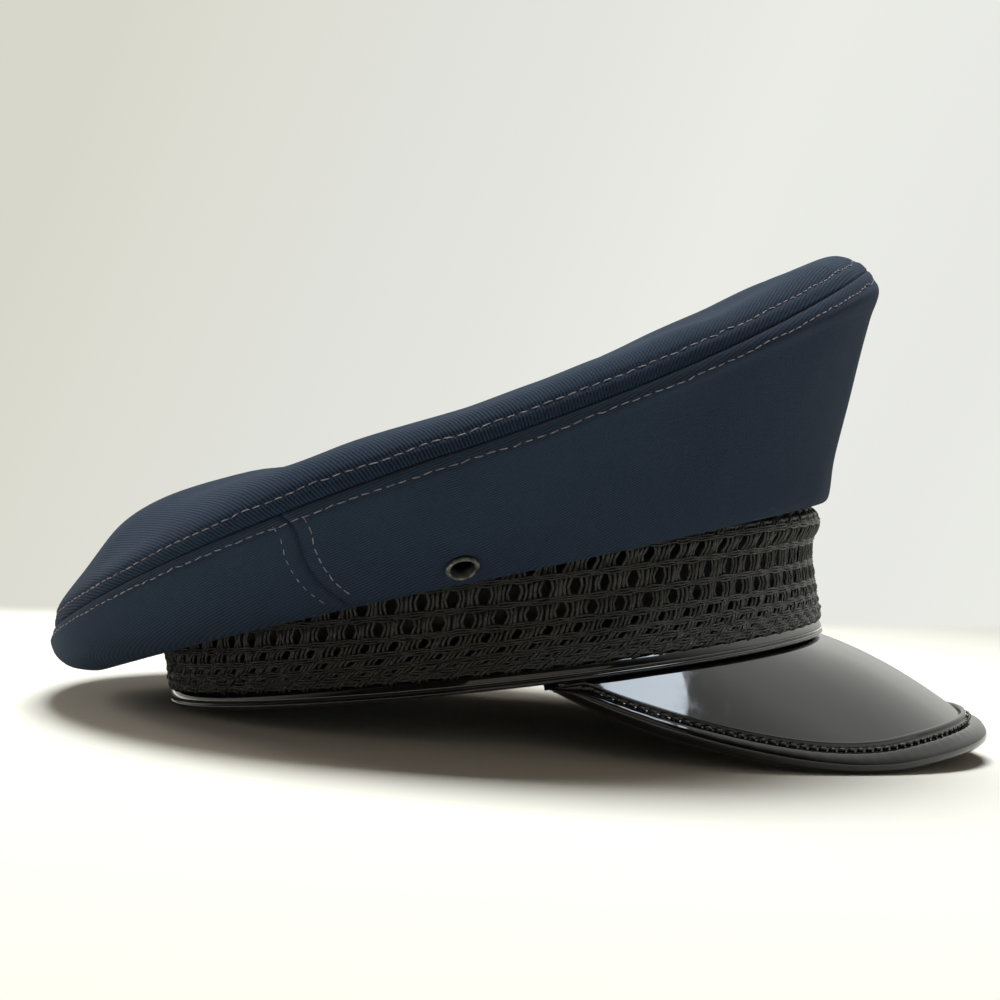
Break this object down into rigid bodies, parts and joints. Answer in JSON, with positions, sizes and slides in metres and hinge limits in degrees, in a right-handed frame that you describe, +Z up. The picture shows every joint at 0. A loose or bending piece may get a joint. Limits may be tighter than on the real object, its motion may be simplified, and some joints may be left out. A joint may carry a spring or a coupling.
{
  "type": "police cap",
  "caption": "Peaked uniform cap: dark cloth crown with a raised front and low back, open woven band, glossy bound peak, side air eyelets",
  "frame": {"origin": "on the surface the cap rests on, under the middle of its box", "axes": "+X forward to the tip of the peak, +Y to the wearer's left, +Z up from the surface; the cap leans back as it rests"},
  "size_m": [0.2966, 0.2502, 0.1553],
  "materials": {
    "crown_cloth": "matte twill",
    "woven_straw": "semi-gloss woven cord",
    "patent": "high gloss patent",
    "sweat_leather": "smooth",
    "eyelet_metal": "worn black"
  },
  "bodies": {
    "root": {"crown_top": "crown_cloth", "crown_side_front": "crown_cloth", "crown_side_rear": "crown_cloth", "vent_eyelet_left": "eyelet_metal", "vent_eyelet_right": "eyelet_metal", "woven_band": "woven_straw", "base_binding": "patent", "sweatband": "sweat_leather", "peak": "patent", "peak_binding": "patent"}
  },
  "joints": []
}
